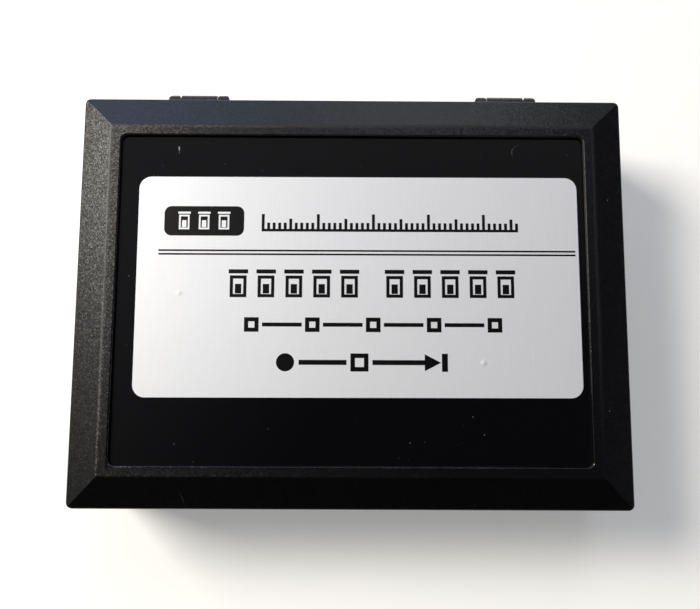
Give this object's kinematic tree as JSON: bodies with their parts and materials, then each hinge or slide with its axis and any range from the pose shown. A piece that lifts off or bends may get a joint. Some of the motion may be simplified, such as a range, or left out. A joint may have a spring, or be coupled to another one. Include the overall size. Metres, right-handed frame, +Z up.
{
  "type": "cuvette case",
  "caption": "Flat hinged case with a bevelled lid, a sunken label panel and foam that holds a pair of capped square cuvettes.",
  "frame": {"origin": "centre of the base's flat underside, below the middle of the case without its hinges", "axes": "+X to the right along the long side, +Y to the back, where the hinges are, +Z up through the lid"},
  "size_m": [0.1, 0.0789, 0.028],
  "materials": {
    "black_plastic": "satin",
    "pin_steel": "satin",
    "foam": "matte",
    "quartz": "polished",
    "white_ptfe": "satin",
    "silver_foil": "satin"
  },
  "bodies": {
    "base": {"base_shell": "black_plastic", "hinge_pin_left": "pin_steel", "hinge_pin_right": "pin_steel", "foam_floor_pad": "foam", "foam_slot_block": "foam", "cuvette_left": "quartz", "cuvette_right": "quartz", "cuvette_cap_left": "white_ptfe", "cuvette_cap_right": "white_ptfe"},
    "lid": {"lid_shell": "black_plastic", "foam_lid_pad": "foam", "label": "silver_foil"}
  },
  "joints": [
    {"name": "lid_hinge", "type": "hinge", "parent": "base", "child": "lid", "pos_m": [0, 0.0396, 0.0175], "axis": [-1, 0, 0], "range_deg": [0, 180]}
  ]
}
